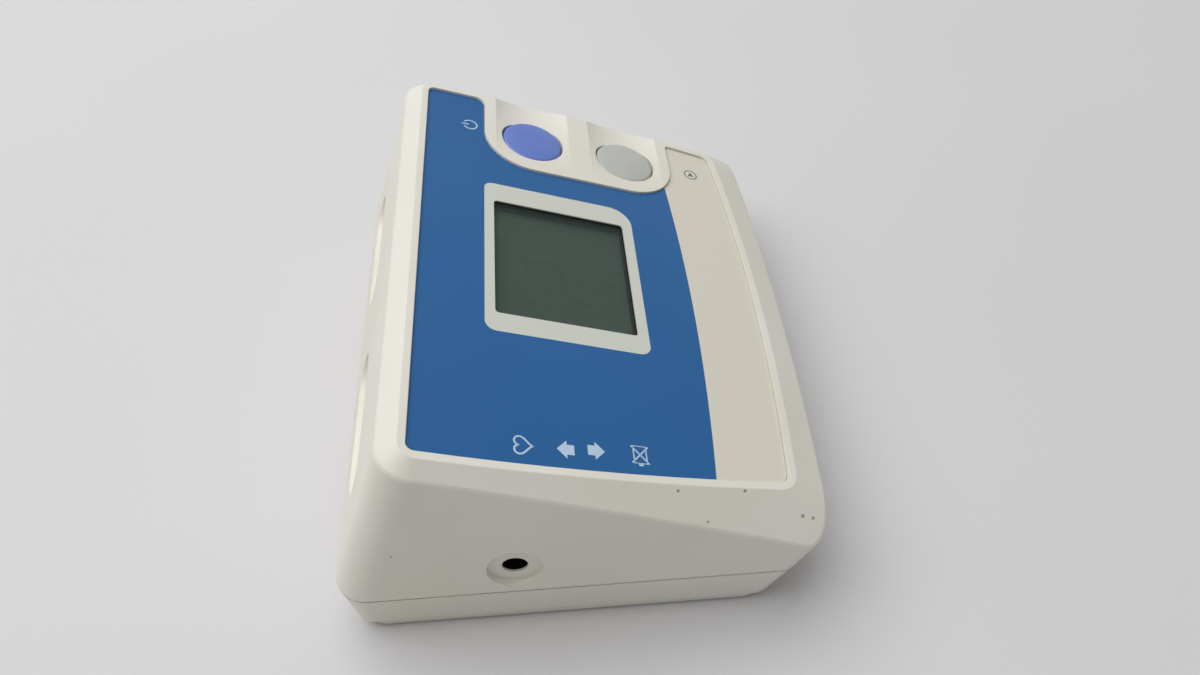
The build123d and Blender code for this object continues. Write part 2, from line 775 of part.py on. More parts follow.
def pump_pieces():
    """Motor can, pump head, the turning shaft with its armature and crank, and the strap."""
    head = rod_x(pump_head_left, motor_left, pump_y, pump_z, pump_head_radius)
    head += rod_x(pump_head_left - nipple_length, pump_head_left, pump_y, socket_z, nipple_radius)
    head -= rod_x(motor_left - chamber_depth, motor_left, pump_y, pump_z, chamber_radius)
    head -= rod_x(pump_head_left - nipple_length, pump_head_left + 4, pump_y, socket_z, air_passage_radius)
    can = rod_x(motor_left, motor_right, pump_y, pump_z, motor_radius)
    room_end = motor_right - shaft_end_wall
    can -= rod_x(motor_left + shaft_bush, room_end, pump_y, pump_z, motor_radius - motor_can)
    can -= rod_x(motor_left - 1, motor_right - shaft_end_wall + shaft_pocket, pump_y, pump_z,
                 shaft_radius + shaft_gap)
    crank_left = motor_left - chamber_depth / 2 - crank_width / 2
    shaft_right = motor_right - shaft_end_wall + shaft_pocket - 0.3
    rotor = rod_x(crank_left, shaft_right, pump_y, pump_z, shaft_radius)
    armature_left = (motor_left + motor_right - armature_length) / 2
    rotor += rod_x(armature_left, armature_left + armature_length, pump_y, pump_z, armature_radius)
    rotor += rod_x(crank_left, crank_left + crank_width, pump_y, pump_z + crank_offset, crank_radius)
    middle = (motor_left + motor_right) / 2
    left, right = middle - strap_width / 2, middle + strap_width / 2
    outside = motor_radius + strap_thickness
    ring = rod_x(left, right, pump_y, pump_z, outside)
    ring -= rod_x(left, right, pump_y, pump_z, motor_radius + 0.05)
    low, high = pump_z - strap_thickness, pump_z + outside
    strap = ring & box(left, right, pump_y - outside, pump_y + outside, low, high)
    screws = []
    for side in (-1, 1):
        y = pump_y + side * strap_screw_reach
        inner_y = pump_y + side * (motor_radius + strap_thickness / 2)
        outer_y = pump_y + side * (strap_screw_reach + strap_ear / 2)
        strap += box(left, right, min(inner_y, outer_y), max(inner_y, outer_y), low, pump_z)
        strap -= upright(middle, y, board_screw_radius + screw_fit, pump_z - 3, pump_z + 1)
        screws.append(upright(middle, y, board_screw_radius, pump_z - strap_screw_length, pump_z)
                      + upright(middle, y, board_screw_head_radius, pump_z, pump_z + board_screw_head_height))
    return {"pump_head": head, "pump_motor": can, "pump_rotor": rotor, "pump_strap": strap,
            "strap_screws": Compound(screws)}


def air_socket():
    """Hose socket behind the hole in the left wall: flange, barrel, bore and tube spigot."""
    flange_end = socket_mouth + socket_flange_thickness
    socket = rod_x(socket_mouth, flange_end, socket_y, socket_z, socket_flange_radius)
    socket += rod_x(socket_mouth, socket_end, socket_y, socket_z, socket_body_radius)
    socket += rod_x(socket_end, socket_end + nipple_length, socket_y, socket_z, nipple_radius)
    socket -= rod_x(socket_mouth, socket_mouth + socket_bore_length, socket_y, socket_z, socket_bore_radius)
    return socket - rod_x(socket_mouth, socket_end + nipple_length, socket_y, socket_z, air_passage_radius)


def valve_pieces():
    """Air manifold on the bay's roof, the release valve plugged into it and the valve's plunger."""
    block = box(manifold_left, manifold_right, socket_y - manifold_size / 2, manifold_back,
                bay_roof, manifold_top)
    block += rod_x(manifold_left - nipple_length, manifold_right + nipple_length, socket_y, socket_z,
                   nipple_radius)
    riser = manifold_top + sensor_tube_rise - 1
    block += upright(manifold_x, socket_y, nipple_radius, socket_z, riser)
    block -= rod_x(manifold_left - nipple_length, manifold_right + nipple_length, socket_y, socket_z,
                   air_passage_radius)
    block -= upright(manifold_x, socket_y, air_passage_radius, socket_z, riser)
    block -= rod_y(manifold_x, manifold_back - valve_spigot_length, manifold_back, socket_z,
                   valve_spigot_radius + fit_gap / 3)
    body = box(manifold_left, manifold_right, manifold_back, valve_back, bay_roof, manifold_top)
    body += rod_y(manifold_x, manifold_back - valve_spigot_length, manifold_back, socket_z,
                  valve_spigot_radius)
    body -= rod_y(manifold_x, valve_back + plunger_reach - plunger_length - plunger_travel - 0.5, valve_back,
                  socket_z, plunger_radius + plunger_gap)
    tip = valve_back + plunger_reach
    plunger = rod_y(manifold_x, tip - plunger_length, tip, socket_z, plunger_radius)
    plunger += rod_y(manifold_x, tip - plunger_cap_length, tip, socket_z, plunger_cap_radius)
    return {"air_manifold": block, "valve_body": body, "valve_plunger": plunger}


def hose(points, bend):
    """A silicone tube along straight runs joined by arcs."""
    path = FilletPolyline(*points, radius=bend) if bend else Line(*points)
    start = Plane(path @ 0, z_dir=path % 0)
    outside = sweep(start * Circle(tube_outer_radius), path=path)
    return outside - sweep(start * Circle(tube_inner_radius), path=path)


def air_line_pieces():
    """Pressure sensor under the board and the three tubes that meet at the manifold."""
    corner = Vector(manifold_x, socket_y, manifold_top + sensor_tube_rise)
    local = panel.to_local_coords(corner)
    face_n = board_under - sensor_height
    half = sensor_width / 2
    sensor = panel_box(local.X - half, local.X + half, local.Y - half, local.Y + half, face_n, board_under)
    sensor += panel_rod(local.X, local.Y, nipple_radius, face_n - sensor_nipple_length, face_n)
    sensor -= panel_rod(local.X, local.Y, air_passage_radius, face_n - sensor_nipple_length, face_n + 2)
    at_sensor = panel.from_local_coords(Vector(local.X, local.Y, face_n))
    riser = hose([(manifold_x, socket_y, manifold_top), corner, at_sensor], sensor_tube_bend)
    middle_x = (manifold_right + pump_head_left) / 2
    quarter = (pump_head_left - manifold_right) / 5
    across = hose([(manifold_right, socket_y, socket_z), (middle_x - quarter, socket_y, socket_z),
                   (middle_x + quarter, pump_y, socket_z), (pump_head_left, pump_y, socket_z)], tube_bend)
    straight = hose([(socket_end, socket_y, socket_z), (manifold_left, socket_y, socket_z)], 0)
    return {"pressure_sensor": sensor, "sensor_tube": riser, "pump_tube": across, "socket_tube": straight}


def dc_jack():
    """Adapter inlet: body behind the boss, barrel in the boss, bore with a centre pin."""
    half = jack_body_width / 2
    jack = box(scoop_x - half, scoop_x + half, jack_shoulder_y - jack_body_length, jack_shoulder_y,
               scoop_z - half, scoop_z + half)
    jack += rod_y(scoop_x, jack_shoulder_y, jack_front_y, scoop_z, jack_barrel_radius)
    jack -= rod_y(scoop_x, jack_front_y - jack_bore_depth, jack_front_y, scoop_z, jack_bore_radius)
    return jack + rod_y(scoop_x, jack_front_y - jack_bore_depth, jack_front_y - 1, scoop_z, jack_pin_radius)


def case_screws():
    """Four screws up from the plinth into the upper case's posts."""
    seat = screw_seat_height
    return Compound([upright(x, y, screw_head_radius, seat - screw_head_height, seat)
                     + upright(x, y, screw_radius, seat, seat + screw_length) for x, y in corners_of_case])


def rubber_feet():
    """Four round feet let into the plinth."""
    return Compound([upright(x, y, foot_radius, 0, foot_lift + foot_seat) for x, y in feet_at])


pieces = {
    "upper_case": upper_case(), "lower_case": lower_case(), "battery_cover": battery_cover(),
    "front_label": front_label(),
    "power_button": button_cap(power_button_v), "start_button": button_cap(start_button_v),
    "power_dome": return_dome(power_button_v), "start_dome": return_dome(start_button_v),
    "air_socket": air_socket(), "dc_jack": dc_jack(),
    "case_screws": case_screws(), "rubber_feet": rubber_feet(),
    **display_pieces(), **board_pieces(), **battery_pieces(), **pump_pieces(), **valve_pieces(),
    **air_line_pieces(),
}

case_box = pieces["upper_case"].bounding_box()
middle_y = (case_box.min.Y + case_box.max.Y) / 2
os.makedirs("parts", exist_ok=True)
for name, piece in pieces.items():
    export_step(Pos(0, -middle_y, 0) * piece, "parts/" + name + ".step")

print("case middle, y from the label's middle:", round(middle_y, 4))
print("panel normal:", tuple(round(c, 5) for c in panel.z_dir))
print("socket mouth:", round(socket_mouth, 3), round(socket_y - middle_y, 3), socket_z)
print("jack mouth:", scoop_x, round(jack_front_y - middle_y, 3), scoop_z)
print("pump axis: y", round(pump_y - middle_y, 3), "z", pump_z)
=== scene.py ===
from math import cos, pi, radians, sin

import bmesh
import bpy
from mathutils import Matrix, Vector


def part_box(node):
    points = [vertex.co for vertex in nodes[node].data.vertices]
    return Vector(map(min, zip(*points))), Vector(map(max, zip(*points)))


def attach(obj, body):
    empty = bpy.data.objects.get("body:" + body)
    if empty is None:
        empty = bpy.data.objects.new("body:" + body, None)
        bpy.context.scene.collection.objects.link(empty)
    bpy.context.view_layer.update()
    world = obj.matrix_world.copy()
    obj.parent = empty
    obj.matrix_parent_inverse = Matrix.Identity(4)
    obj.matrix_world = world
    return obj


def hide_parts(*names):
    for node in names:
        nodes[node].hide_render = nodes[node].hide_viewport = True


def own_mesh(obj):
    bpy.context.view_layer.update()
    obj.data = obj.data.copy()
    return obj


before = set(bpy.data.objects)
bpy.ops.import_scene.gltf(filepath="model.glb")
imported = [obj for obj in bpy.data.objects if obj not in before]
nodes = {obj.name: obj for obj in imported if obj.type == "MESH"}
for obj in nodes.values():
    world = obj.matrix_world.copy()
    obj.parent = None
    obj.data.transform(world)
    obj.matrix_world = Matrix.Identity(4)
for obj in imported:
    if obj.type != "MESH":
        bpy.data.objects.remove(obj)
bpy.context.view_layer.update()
mm = 0.001

# The sloping panel: x across, v up the slope, n out of the panel
panelSlope = radians(18.6)
panelMiddle = Vector((0, -9.2789 * mm, 51.5 * mm))
panelUp = Vector((0, cos(panelSlope), sin(panelSlope)))
panelOut = Vector((0, -sin(panelSlope), cos(panelSlope)))


def onPanel(x, v, n=0.0):  # millimetres on the panel to a point in the scene
    return panelMiddle + (Vector((x, 0, 0)) + panelUp * v + panelOut * n) * mm


def screenColour(red, green, blue):  # 0 to 255 as seen on a screen, to the shader's own scale
    def linear(value):
        share = value / 255
        return share / 12.92 if share <= 0.04045 else ((share + 0.055) / 1.055) ** 2.4
    return (linear(red), linear(green), linear(blue), 1)


# Shader maths: a Value is a node's output, and sums of Values add the Math nodes
class Value:
    def __init__(self, finish, socket):
        self.finish = finish
        self.socket = socket

    def maths(self, operation, *terms):
        return self.finish.node("ShaderNodeMath", {"operation": operation}, dict(enumerate(terms)))

    def __add__(self, other):
        return self.maths("ADD", self, other)

    def __sub__(self, other):
        return self.maths("SUBTRACT", self, other)

    def __rsub__(self, other):
        return self.maths("SUBTRACT", other, self)

    def __mul__(self, other):
        return self.maths("MULTIPLY", self, other)

    def __truediv__(self, other):
        return self.maths("DIVIDE", self, other)

    def __pow__(self, other):
        return self.maths("POWER", self, other)

    def __abs__(self):
        return self.maths("ABSOLUTE", self)

    __radd__ = __add__
    __rmul__ = __mul__

    def least(self, other):
        return self.maths("MINIMUM", self, other)

    def most(self, other):
        return self.maths("MAXIMUM", self, other)

    def wave(self):
        return self.maths("SINE", self)

    def above(self, edge, soft):  # 0 below the edge, 1 above it, with a soft step
        settings = {"interpolation_type": "SMOOTHSTEP"}
        return self.finish.node("ShaderNodeMapRange", settings,
                                {"Value": self, "From Min": edge - soft / 2, "From Max": edge + soft / 2})


class Finish:
    def __init__(self, name, **fixed):
        self.material = bpy.data.materials.new(name)
        self.material.use_nodes = True
        self.tree = self.material.node_tree
        self.shader = self.tree.nodes["Principled BSDF"]
        for socket, value in fixed.items():
            self.shader.inputs[socket.replace("_", " ")].default_value = value

    def node(self, kind, settings, sockets, output=0):
        made = self.tree.nodes.new(kind)
        for name, value in settings.items():
            setattr(made, name, value)
        for name, value in sockets.items():
            if isinstance(value, Value):
                self.tree.links.new(value.socket, made.inputs[name])
            else:
                made.inputs[name].default_value = value
        return Value(self, made.outputs[output])

    def paint(self, **links):
        for name, value in links.items():
            self.tree.links.new(value.socket, self.shader.inputs[name.replace("_", " ")])

    def place(self):
        return self.node("ShaderNodeTexCoord", {}, {}, "Object")

    def split(self, vector):
        return [self.node("ShaderNodeSeparateXYZ", {}, {0: vector}, axis) for axis in "XYZ"]

    def away(self, point):  # distance from a point given in millimetres
        return self.node("ShaderNodeVectorMath", {"operation": "DISTANCE"},
                         {0: self.place(), 1: Vector(point) * mm}, "Value")

    def noise(self, size, detail=2.0, roughness=0.5, stretch=(1, 1, 1)):
        spread = self.node("ShaderNodeVectorMath", {"operation": "MULTIPLY"}, {0: self.place(), 1: stretch})
        return self.node("ShaderNodeTexNoise", {}, {"Vector": spread, "Scale": 1 / size, "Detail": detail,
                                                    "Roughness": roughness})

    def mix(self, share, first, second):
        return self.node("ShaderNodeMix", {"data_type": "RGBA"}, {0: share, 6: first, 7: second}, 2)

    def panelPlace(self):  # x and v on the panel, in millimetres
        start = self.node("ShaderNodeVectorMath", {"operation": "SUBTRACT"},
                          {0: self.place(), 1: panelMiddle})
        def along(direction):
            return self.node("ShaderNodeVectorMath", {"operation": "DOT_PRODUCT"},
                             {0: start, 1: direction / mm}, "Value")
        return along(Vector((1, 0, 0))), along(panelUp)

    def relief(self, height, depth, edge=None):
        sockets = {"Height": height, "Distance": depth, "Strength": 1.0}
        if edge:
            sockets["Normal"] = self.node("ShaderNodeBevel", {"samples": 4}, {"Radius": edge})
        return self.node("ShaderNodeBump", {}, sockets)


print("stage: shader tools ready")

# Moulded case plastic
caseLook = {
    "white": screenColour(228, 226, 217), "aged": screenColour(222, 218, 204),
    "mark": screenColour(112, 106, 98),
    "agedPatch": 0.06, "roughness": 0.4, "roughnessSpread": 0.12, "grain": 0.00035, "grainDepth": 0.000006,
    "edge": 0.00035, "raggedSize": 0.0009, "ragged": 1.1,
    # The near-black colour and its x range on the next line are painted shade inside the hose hole
    "holeShadeBlack": screenColour(9, 9, 10), "socketAxis": (18.521, 27.2), "holeRadius": 3.6,
    "holeShadeFrom": -80.4, "holeShadeTo": -60,
    # x, y, z and radius in millimetres
    "scuffs": ((-75.2, -22.8, 46.7, 0.5), (-73.1, -40.4, 41.4, 0.55), (-80.2, -30.0, 39.7, 0.4),
               (-76.2, -55.8, 32.6, 0.6), (-76.2, -58.6, 31.3, 0.5), (-81.8, 48.1, 36.8, 0.35)),
}


def casePlastic():
    look = caseLook
    finish = Finish("case_plastic", Specular_IOR_Level=0.42)
    patches = finish.noise(look["agedPatch"], 3.0)
    ragged = (finish.noise(look["raggedSize"], 1.0) - 0.5) * look["ragged"]
    marks = None
    for x, y, z, radius in look["scuffs"]:
        away = finish.away((x, y, z)) / (radius * mm)
        marks = away if marks is None else marks.least(away)
    scuffed = 1 - (marks + ragged).above(0.8, 0.5)
    colour = finish.mix(patches.above(0.5, 0.5), look["white"], look["aged"])
    colour = finish.mix(scuffed * 0.75, colour, look["mark"])
    x, y, z = [part / mm for part in finish.split(finish.place())]
    offY, offZ = y - look["socketAxis"][0], z - look["socketAxis"][1]
    hole = 1 - (offY * offY + offZ * offZ).above(look["holeRadius"] ** 2, 0.1)
    leftSide = 1 - x.above(look["holeShadeTo"], 1)
    paintedHoleShade = hole * leftSide * x.above(look["holeShadeFrom"], 0.15)  # painted shade: the hose hole's inner wall is painted near-black to stand in for the shade inside it
    colour = finish.mix(paintedHoleShade, colour, look["holeShadeBlack"])
    grain = finish.noise(look["grain"], 2.0)
    finish.paint(Base_Color=colour, Normal=finish.relief(grain, look["grainDepth"], look["edge"]),
                 Roughness=look["roughness"] + look["roughnessSpread"] * (patches - 0.5) + scuffed * 0.2)
    return finish


# Printed film on the panel: two colours, and a pale frame around the display
labelLook = {
    "blue": screenColour(30, 92, 149), "paleBlue": screenColour(37, 98, 155),
    "beige": screenColour(215, 211, 197), "surround": screenColour(206, 209, 199),
    "border": -29.0, "borderBow": 7.06e-4,
    "frameMiddle": (-0.45, 10.5), "frameHalf": (30.85, 23.5), "cornerRadii": (3.4, 2.6, 3.4, 7.4),
    "sharpness": 0.12, "roughness": 0.38, "grain": 0.0005, "grainDepth": 0.000003,
}


def labelFilm():
    look = labelLook
    finish = Finish("label_film", Specular_IOR_Level=0.28)
    x, v = finish.panelPlace()
    dx, dv = x - look["frameMiddle"][0], v - look["frameMiddle"][1]
    backLeft, backRight, frontLeft, frontRight = look["cornerRadii"]
    right, back = dx.above(0, 0.01), dv.above(0, 0.01)
    backRadius = backLeft + right * (backRight - backLeft)
    frontRadius = frontLeft + right * (frontRight - frontLeft)
    radius = frontRadius + back * (backRadius - frontRadius)
    overX = (abs(dx) - look["frameHalf"][0] + radius).most(0)
    overV = (abs(dv) - look["frameHalf"][1] + radius).most(0)
    outside = (overX * overX + overV * overV) ** 0.5 - radius
    surround = 1 - outside.above(0, look["sharpness"])
    beige = 1 - (v - x * x * look["borderBow"]).above(look["border"], look["sharpness"])
    colour = finish.mix(finish.noise(0.09, 1.0).above(0.5, 0.6), look["blue"], look["paleBlue"])
    colour = finish.mix(beige, colour, look["beige"])
    colour = finish.mix(surround, colour, look["surround"])
    haze = finish.noise(0.012, 3.0)
    finish.paint(Base_Color=colour, Roughness=look["roughness"] + 0.1 * (haze - 0.5),
                 Normal=finish.relief(finish.noise(look["grain"]), look["grainDepth"]))
    return finish


# Clear window, see-through so that light and shadow reach the display under it
windowLook = {"tint": screenColour(60, 72, 66), "clear": 0.06, "glare": 0.55, "rim": 0.35, "roughness": 0.05}


def clearWindow():
    look = windowLook
    finish = Finish("clear_window", Base_Color=look["tint"], Roughness=look["roughness"])
    rimLight = finish.node("ShaderNodeLayerWeight", {}, {"Blend": look["rim"]}, "Fresnel")
    finish.paint(Alpha=look["clear"] + rimLight * look["glare"])
    return finish


# Reflective display behind the window: faint segments and an even grey-green
displayLook = {
    "ground": screenColour(119, 142, 129), "segment": screenColour(114, 136, 123), "roughness": 0.28,
    "digitWidth": 8.6, "digitHeight": 14.5, "stroke": 1.3, "digits": 3, "pitch": 11.5,
    "rows": ((-1.0, 21.0), (-1.0, 4.0)),
}


def displayGlass():
    look = displayLook
    finish = Finish("display_glass")
    x, v = finish.panelPlace()
    halfWidth, halfHeight, stroke = look["digitWidth"] / 2, look["digitHeight"] / 2, look["stroke"] / 2
    inked = None
    for middleX, middleV in look["rows"]:
        firstX = middleX - look["pitch"] * (look["digits"] - 1) / 2
        step = (x - firstX + look["pitch"] / 2) / look["pitch"]
        count = step.maths("FLOOR", step).most(0).least(look["digits"] - 1)
        dx = abs(x - firstX - count * look["pitch"])
        dv = v - middleV
        inside = (dx - halfWidth).most(abs(dv) - halfHeight)
        hollow = (dx - halfWidth + 2 * stroke).most(
            abs(abs(dv) - halfHeight / 2) - halfHeight / 2 + 1.5 * stroke)
        ring = inside.most(0 - hollow)
        gaps = abs(abs(dx - halfWidth + stroke) - abs(abs(dv) - halfHeight / 2) + halfHeight / 2 - stroke)
        mark = (1 - ring.above(0, 0.1)) * gaps.above(0.22, 0.1)
        inked = mark if inked is None else inked.most(mark)
    colour = finish.mix(inked * 0.8, look["ground"], look["segment"])
    cloud = finish.noise(0.02, 2.0)
    finish.paint(Base_Color=colour, Roughness=look["roughness"] + 0.1 * (cloud - 0.5))
    return finish


# Plain moulded, rubber and metal finishes share one recipe with their own values
plainLooks = {
    "blue_plastic": {"colour": (98, 125, 200), "second": (93, 119, 194), "patch": 0.008,
                     "roughness": 0.34, "grain": 0.0003, "depth": 0.000003, "edge": 0.0003},
    "grey_plastic": {"colour": (187, 189, 183), "second": (182, 184, 178), "patch": 0.008,
                     "roughness": 0.38, "grain": 0.0003, "depth": 0.000003, "edge": 0.0003},
    "black_plastic": {"colour": (26, 26, 28), "second": (34, 34, 36), "patch": 0.01, "roughness": 0.5,
                      "grain": 0.0003, "depth": 0.000008},
    "socket_black": {"colour": (9, 9, 10), "second": (12, 12, 13), "patch": 0.004, "roughness": 0.6,
                     "grain": 0.0003, "depth": 0.000004, "gloss": 0.15},
    "foot_rubber": {"colour": (36, 36, 38), "second": (52, 51, 50), "patch": 0.004, "roughness": 0.78,
                    "grain": 0.0005, "depth": 0.00002},
    "silicone": {"colour": (206, 206, 198), "second": (196, 195, 186), "patch": 0.006, "roughness": 0.55,
                 "grain": 0.0008, "depth": 0.000008},
    "foam": {"colour": (58, 58, 60), "second": (34, 34, 36), "patch": 0.0012, "roughness": 0.9,
             "grain": 0.0009, "depth": 0.0002},
    "elastomer": {"colour": (196, 176, 200), "second": (60, 58, 64), "patch": 0.0006, "roughness": 0.6,
                  "grain": 0.0005, "depth": 0.00001, "stretch": (1, 0.05, 0.05)},
    "pump_plastic": {"colour": (214, 212, 202), "second": (202, 199, 188), "patch": 0.02, "roughness": 0.45,
                     "grain": 0.0004, "depth": 0.00001, "edge": 0.0003},
    "steel": {"colour": (190, 190, 188), "second": (160, 160, 158), "patch": 0.002, "roughness": 0.34,
              "grain": 0.0006, "depth": 0.000006, "metal": 1.0, "edge": 0.0002, "stretch": (0.08, 1, 1)},
    "plated_steel": {"colour": (214, 212, 206), "second": (192, 189, 182), "patch": 0.003,
                     "roughness": 0.22, "grain": 0.0008, "depth": 0.000004, "metal": 1.0},
    "aluminium_can": {"colour": (208, 209, 212), "second": (186, 187, 190), "patch": 0.002,
                      "roughness": 0.3, "grain": 0.0006, "depth": 0.000005, "metal": 1.0},
    "print_pale": {"colour": (186, 208, 226), "second": (176, 199, 219), "patch": 0.004, "roughness": 0.45,
                   "grain": 0.0004, "depth": 0.000002},
    "print_dark": {"colour": (84, 86, 90), "second": (96, 98, 102), "patch": 0.004, "roughness": 0.45,
                   "grain": 0.0004, "depth": 0.000002},
}


def plainFinish(name):
    look = plainLooks[name]
    stretch = look.get("stretch", (1, 1, 1))
    finish = Finish(name, Metallic=look.get("metal", 0.0), Specular_IOR_Level=look.get("gloss", 0.5))
    patches = finish.noise(look["patch"], 3.0, stretch=stretch)
    colour = finish.mix(patches.above(0.5, 0.4), screenColour(*look["colour"]),
                        screenColour(*look["second"]))
    grain = finish.noise(look["grain"], 2.0, stretch=stretch)
    finish.paint(Base_Color=colour, Roughness=look["roughness"] + 0.16 * (patches - 0.5),
                 Normal=finish.relief(grain, look["depth"], look.get("edge")))
    return finish


# Circuit board: green resist over faint copper tracks, with rows of bright pads
boardLook = {"resist": (22, 92, 52), "track": (40, 122, 70), "pad": (206, 190, 150),
             "trackPitch": 1.9, "trackBend": 12, "padPitch": 5.08, "padSpread": 0.016}


def boardResist():
    look = boardLook
    finish = Finish("board_green", Roughness=0.35)
    x, v = finish.panelPlace()
    bend = finish.noise(0.02, 0.0) * look["trackBend"]
    run = (v + bend) / look["trackPitch"]
    tracks = abs(run.maths("FRACT", run) - 0.5).above(0.28, 0.06)
    padX, padV = x / look["padPitch"], v / look["padPitch"]
    awayX, awayV = padX.maths("FRACT", padX) - 0.5, padV.maths("FRACT", padV) - 0.5
    pads = 1 - (awayX * awayX + awayV * awayV).above(look["padSpread"], 0.004)
    colour = finish.mix(tracks, screenColour(*look["resist"]), screenColour(*look["track"]))
    colour = finish.mix(pads, colour, screenColour(*look["pad"]))
    finish.paint(Base_Color=colour, Metallic=pads * 0.9, Normal=finish.relief(tracks.most(pads), 0.00003))
    return finish


# Battery cells: dark wrap with a copper band near both ends and bare metal faces
cellLook = {"wrap": (38, 40, 48), "band": (170, 112, 66), "steel": (206, 206, 204),
            "bandFrom": 17.5, "wrapEnd": 24.0}


def cellWrap():
    look = cellLook
    finish = Finish("cell_wrap")
    low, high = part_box("battery_cells")
    x = finish.split(finish.place())[0]
    away = abs(x / mm - (low.x + high.x) / 2 / mm)
    band = away.above(look["bandFrom"], 0.1)
    bare = away.above(look["wrapEnd"], 0.2)
    colour = finish.mix(band, screenColour(*look["wrap"]), screenColour(*look["band"]))
    colour = finish.mix(bare, colour, screenColour(*look["steel"]))
    shine = finish.noise(0.003, 2.0)
    finish.paint(Base_Color=colour, Metallic=bare * 0.9 + band * 0.1, Roughness=0.3 + 0.12 * (shine - 0.5))
    return finish


# Battery cover: case plastic with moulded grip ridges near its back edge
gripLook = {"pitch": 2.2, "halfWidth": 13.0, "from": 40.0, "to": 54.0, "top": 1.5, "soft": 0.4,
            "depth": 0.0004}


def coverPlastic():
    look = gripLook
    finish = Finish("cover_plastic", Specular_IOR_Level=0.42)
    low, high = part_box("battery_cover")
    x, y, z = finish.split(finish.place())
    across = abs(x / mm - (low.x + high.x) / 2 / mm)
    along, soft = y / mm, look["soft"]
    lengthwise = along.above(look["from"], soft) * (1 - along.above(look["to"], soft))
    inside = (1 - across.above(look["halfWidth"], soft)) * lengthwise
    under = 1 - z.above(look["top"] * mm, soft * mm)
    wave = (along * (2 * pi / look["pitch"])).wave()
    ridges = (wave * 0.5 + 0.5) * inside * under
    patches = finish.noise(caseLook["agedPatch"], 3.0)
    colour = finish.mix(patches.above(0.5, 0.5), caseLook["white"], caseLook["aged"])
    finish.paint(Base_Color=colour, Roughness=caseLook["roughness"] + 0.1 * (patches - 0.5),
                 Normal=finish.relief(ridges + finish.noise(caseLook["grain"]) * 0.015, look["depth"]))
    return finish


plastic, film, black = casePlastic(), labelFilm(), plainFinish("black_plastic")
silicone, steel, plated = plainFinish("silicone"), plainFinish("steel"), plainFinish("plated_steel")
pumpPlastic = plainFinish("pump_plastic")
finishes = {
    "upper_case": plastic, "lower_case": plastic, "battery_cover": coverPlastic(),
    "front_label": film, "display_window": clearWindow(), "lcd_holder": black, "lcd_glass": displayGlass(),
    "lcd_backing": plainFinish("foam"), "contact_strips": plainFinish("elastomer"),
    "power_button": plainFinish("blue_plastic"), "start_button": plainFinish("grey_plastic"),
    "power_dome": silicone, "start_dome": silicone, "sensor_tube": silicone, "pump_tube": silicone,
    "socket_tube": silicone, "air_socket": plainFinish("socket_black"),
    "dc_jack": black, "controller_chip": black, "buzzer": black,
    "case_screws": steel, "board_screws": steel, "strap_screws": steel,
    "pump_motor": steel, "pump_rotor": steel, "pump_strap": steel, "valve_plunger": steel,
    "rubber_feet": plainFinish("foot_rubber"),
    "main_board": boardResist(), "board_capacitors": plainFinish("aluminium_can"),
    "battery_cells": cellWrap(), "cell_contacts": plated, "cell_springs": plated,
    "pump_head": pumpPlastic, "air_manifold": pumpPlastic,
    "valve_body": pumpPlastic, "pressure_sensor": pumpPlastic,
}
for name, finish in finishes.items():
    nodes[name].data.materials.clear()
    nodes[name].data.materials.append(finish.material)
print("stage: finishes on", len(finishes), "frame pieces")

# Return domes: copies of the frame's own domes, fixed to the case, with the originals hidden
domeLook = {"keep": 0.42, "presses": {"power_dome": "power_press", "start_dome": "start_press"}}


def softDomes():
    for name, press in domeLook["presses"].items():
        data = nodes[name].data.copy()
        dome = bpy.data.objects.new("soft_" + name, data)
        bpy.context.scene.collection.objects.link(dome)
        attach(dome, "case")
        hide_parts(name)
        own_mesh(dome)


softDomes()

# Pictograms printed on the film: thin flat ink, no words
printLook = {
    "lift": 0.01, "thickness": 0.015, "stroke": 0.5,
    "heart": (-67.6, 25.0), "up": (-67.2, 14.0), "down": (-66.4, 6.2), "battery": (-65.9, -5.4),
    "power": (58.3, 38.6), "start": (57.6, -38.5),
    "heartSize": 2.6, "arrowHalf": 2.7, "batteryHalf": (2.6, 1.7), "ringRadius": 2.2,
}


def inkStroke(points, closed, width):  # a line's points to a flat ribbon's quads, in millimetres
    quads, count = [], len(points)
    def sideAt(index):
        before = points[(index - 1) % count] if closed or index > 0 else points[index]
        after = points[(index + 1) % count] if closed or index < count - 1 else points[index]
        run = (Vector(after) - Vector(before)).normalized()
        return Vector((-run.y, run.x)) * width / 2
    for index in range(count if closed else count - 1):
        following = (index + 1) % count
        first, second = Vector(points[index]), Vector(points[following])
        here, there = sideAt(index), sideAt(following)
        quads.append([first + here, second + there, second - there, first - here])
    return quads


def inkPiece(name, faces, middle, finish):
    mesh = bmesh.new()
    for face in faces:
        places = [onPanel(middle[0] + point[0], middle[1] + point[1], printLook["lift"]) for point in face]
        mesh.faces.new([mesh.verts.new(place) for place in places])
    bmesh.ops.remove_doubles(mesh, verts=mesh.verts, dist=1e-7)
    bmesh.ops.recalc_face_normals(mesh, faces=mesh.faces)
    data = bpy.data.meshes.new(name)
    mesh.to_mesh(data)
    mesh.free()
    piece = bpy.data.objects.new(name, data)
    bpy.context.scene.collection.objects.link(piece)
    thick = piece.modifiers.new("ink", "SOLIDIFY")
    thick.thickness = printLook["thickness"] * mm
    thick.offset = 0
    data.materials.append(finish.material)
    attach(piece, "case")
    return piece


def arcPoints(radius, start, end, count):
    turns = [start + (end - start) * k / count for k in range(count + 1)]
    return [(radius * cos(turn), radius * sin(turn)) for turn in turns]


